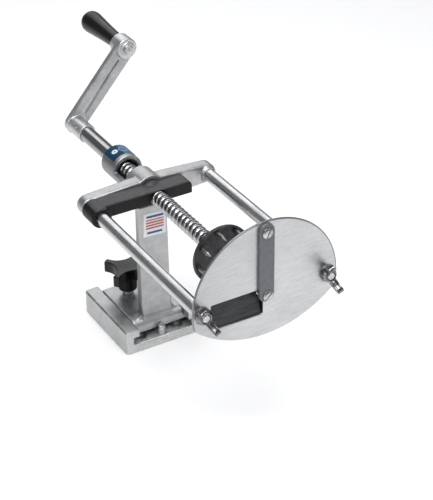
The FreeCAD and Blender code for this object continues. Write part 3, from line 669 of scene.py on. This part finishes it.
def casting_coves(bm):
    """Coves between the post and the foot, and a fillet round the right rod's seat."""
    leg = 5.0 * MM                   # reach of the side and back coves
    sink = 1.0 * MM                  # how far a cove reaches into the casting
    under = FOOT_TOP - sink
    front_cove = [(POST_FRONT + sink, FOOT_TOP + 17 * MM), (POST_FRONT - 0.7 * MM, FOOT_TOP + 8 * MM),
                  (POST_FRONT - 2.1 * MM, FOOT_TOP + 3.2 * MM), (POST_FRONT - 4.3 * MM, FOOT_TOP - 0.2 * MM),
                  (POST_FRONT + sink, under)]
    back_cove = [(POST_BACK - sink, FOOT_TOP + leg), (POST_BACK + leg, under), (POST_BACK - sink, under)]
    add_prism(bm, [(-POST_HALF, y, z) for y, z in front_cove], (2 * POST_HALF, 0, 0))
    for side in (-1, 1):
        inner = side * (POST_HALF - sink)
        outer = side * (POST_HALF + leg)
        side_cove = [(inner, FOOT_TOP + leg), (outer, under), (inner, under)]
        add_prism(bm, [(x, POST_FRONT, z) for x, z in side_cove], (0, POST_BACK - POST_FRONT, 0))
    add_prism(bm, [(-POST_HALF, y, z) for y, z in back_cove], (2 * POST_HALF, 0, 0))
    low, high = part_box("guide_rod_right")
    bore = (high.x - low.x) / 2
    fillet = [(BAR_FRONT + sink, bore), (BAR_FRONT - 4.2 * MM, bore), (BAR_FRONT - 3.6 * MM, bore + 0.9 * MM),
              (BAR_FRONT - 1.0 * MM, bore + 1.7 * MM), (BAR_FRONT + sink, bore + 2.8 * MM)]
    add_turned(bm, (low + high) / 2, fillet, closed=True)


def folded_wings(side):
    """Function that closes the fold of a wing nut's two wings down to a shallow groove."""
    # (away from the stud, forward of the plate) in mm, inside the wing's own outline
    outline = [(6.0, 2.0), (10.6, 4.9), (13.2, 8.5), (14.6, 11.9), (14.1, 14.0), (12.4, 14.4),
               (10.9, 12.9), (9.2, 10.2), (6.0, 6.6)]
    half = 1.6                       # half the filling's thickness in mm
    stud = middle("guide_rod_" + side)
    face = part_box("face_plate")[0].y

    def fill(bm):
        for degrees in (WING_ANGLES[side], WING_ANGLES[side] + 180):
            turn = math.radians(degrees)
            out = Vector((math.cos(turn), 0, math.sin(turn)))
            across = Vector((-math.sin(turn), 0, math.cos(turn)))
            corners = [Vector((stud.x, face - ahead * MM, stud.z)) + out * away * MM - across * half * MM
                       for away, ahead in outline]
            add_prism(bm, corners, across * 2 * half * MM)
    return fill


mount(recast("mounting_base_cast", "mounting_base", 0.7, 2, 0.45, displace=hammered(9.0, 0.22)),
      "base", "base_casting", "mounting_base")
mount(recast("frame_casting_cast", "frame_casting", 0.7, 5, 0.45, extra=casting_coves),
      "frame", "grey_enamel", "frame_casting")
mount(recast("half_nut_lever_cast", "half_nut_lever", 0.45, 3, 0.4),
      "lever", "black_lever", "half_nut_lever")
mount(recast("crank_arm_cast", "crank_arm", 0.45, 3, 0.4),
      "drive", "crank_plate", "crank_arm")
mount(recast("clamp_knob_moulded", "clamp_knob", 0.5, 4, 0.5),
      "clamp", "black_plastic", "clamp_knob")
for side in ("left", "right"):
    mount(recast("wing_nut_" + side + "_forged", "wing_nut_" + side, 0.3, 5, 0.6,
                 extra=folded_wings(side)),
          "wing_" + side, "nut_chrome", "wing_nut_" + side)
mount(recast("stop_pin_peened", "stop_pin", 0.35, 6, 0.6), "base", "zinc_steel", "stop_pin")

# ---- plate and pusher ----
mount(recast("face_plate_sheet", "face_plate", 0.55, 2, 0.4), "plate", "plate_steel", "face_plate")
mount(recast("comb_bar_milled", "comb_bar", 0.4, 2, 0.6), "plate", "comb_grey", "comb_bar")
mount(recast("pusher_disc_turned", "pusher_disc", 0.45, 2, 0.5), "drive", "disc_plate", "pusher_disc")

# ---- feed screw ----
screw_low, screw_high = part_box("feed_screw")
crest = (screw_high.x - screw_low.x) / 2
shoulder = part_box("crank_arm")[0].y - HUB_GAP
thread_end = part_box("collar_label")[1].y + 1.0 * MM
chamfer = 0.8 * MM
thread = threaded_rod("feed_screw_thread", AXIS, screw_low.y, thread_end, crest - THREAD_DEPTH, crest)
mount(thread, "drive", "screw_steel", "feed_screw")
shank = lathe("feed_screw_shank", AXIS, [
    (thread_end, 0), (thread_end, crest), (shoulder - chamfer, crest), (shoulder, crest - chamfer),
    (shoulder, SCREW_TAIL_R), (screw_high.y, SCREW_TAIL_R), (screw_high.y, 0)])
mount(shank, "drive", "screw_steel", "feed_screw")
shank.data.materials[0] = SHANK_STEEL

# ---- grip ----
grip_low, grip_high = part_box("crank_grip")
grip_axis = (grip_low + grip_high) / 2
grip_length = grip_high.y - grip_low.y
grip_radius = (grip_high.x - grip_low.x) / 2
bore_end = grip_low.y + 40 * MM
rounded_foot = [(grip_low.y, 0.60 * grip_radius), (grip_low.y + 0.9 * MM, 0.665 * grip_radius)]
# (share of the length, share of the largest radius)
swell = [(0.25, 0.735), (0.5, 0.835), (0.72, 0.94), (0.86, 1.0), (0.935, 0.93), (0.98, 0.66), (1.0, 0.02)]
body_shape = curve_profile(rounded_foot[1:] + [
    (grip_low.y + along * grip_length, wide * grip_radius) for along, wide in swell])
grip = lathe("crank_grip_moulded", grip_axis, [
    (bore_end, 0), (bore_end, SPINDLE_BORE_R), (grip_low.y, SPINDLE_BORE_R), rounded_foot[0]]
    + body_shape[:-1] + [(grip_high.y, 0)])
mount(grip, "grip", "black_plastic", "crank_grip")


# ---- stage, light and camera ----
def stage_floor():
    """Plain pale floor just under the base."""
    bm = bmesh.new()
    bmesh.ops.create_grid(bm, x_segments=1, y_segments=1, size=12.0)
    floor = from_bmesh("floor", bm, smooth=False)
    floor.location.z = -0.05 * MM
    p = Paint("floor", roughness=0.75)
    p.shader.inputs["Specular IOR Level"].default_value = 0.15
    p.color(p.mix(p.ramp(p.noise(3.0, 2.0), 0.3, 0.7), (0.94, 0.94, 0.945), (0.95, 0.95, 0.95)))
    floor.data.materials.append(p.material)


def area_light(name, place, aim, size, power):
    """Soft rectangular lamp, with its size in metres and its power in watts."""
    data = bpy.data.lights.new(name, "AREA")
    data.shape = "RECTANGLE"
    data.size, data.size_y = size
    data.energy = power
    lamp = bpy.data.objects.new(name, data)
    lamp.location = place
    lamp.rotation_euler = (Vector(aim) - Vector(place)).to_track_quat("-Z", "Y").to_euler()
    SCENE.collection.objects.link(lamp)


def light_the_stage():
    """Dim sky, large lamp overhead, weak boxes at both sides and one behind for the top edges."""
    world = bpy.data.worlds.new("studio")
    world.use_nodes = True
    SCENE.world = world
    tree = world.node_tree
    background = tree.nodes["Background"]
    background.inputs["Color"].default_value = (0.93, 0.95, 1.0, 1.0)
    background.inputs["Strength"].default_value = 0.25
    area_light("overhead", (-0.25, -0.35, 1.7), (0, -0.08, 0.1), (1.5, 1.2), 33.0)
    area_light("left_box", (-1.5, -0.5, 0.9), (0, -0.08, 0.1), (0.7, 1.2), 4.0)
    area_light("right_box", (1.3, -1.0, 1.1), (0, -0.1, 0.12), (0.8, 1.0), 4.0)
    area_light("back_box", (0.50, 1.45, 1.2), (0, 0, 0.15), (1.5, 0.85), 7.6)


def place_camera():
    """The photo's camera: axes and place in the CAD frame.

    They come from a least-squares fit, done beforehand, to points measured on the photo along the
    rods and the screw, at the corners of base and post, at the nuts, and round the plate and disc.
    """
    right = Vector((0.86111, -0.508322, -0.009934))
    up = Vector((0.278134, 0.45463, 0.84614))
    back = Vector((-0.425595, -0.731383, 0.532868))
    data = bpy.data.cameras.new("camera")
    data.lens = 111.639
    data.sensor_width = 36.0
    data.clip_start = 0.05
    data.clip_end = 60.0
    camera = bpy.data.objects.new("camera", data)
    axes = Matrix((right, up, back)).transposed().to_4x4()
    axes.translation = Vector((-0.572895, -1.130155, 0.878063))
    camera.matrix_world = axes
    SCENE.collection.objects.link(camera)
    SCENE.camera = camera


stage_floor()
light_the_stage()
place_camera()
SCENE.view_settings.view_transform = "Standard"
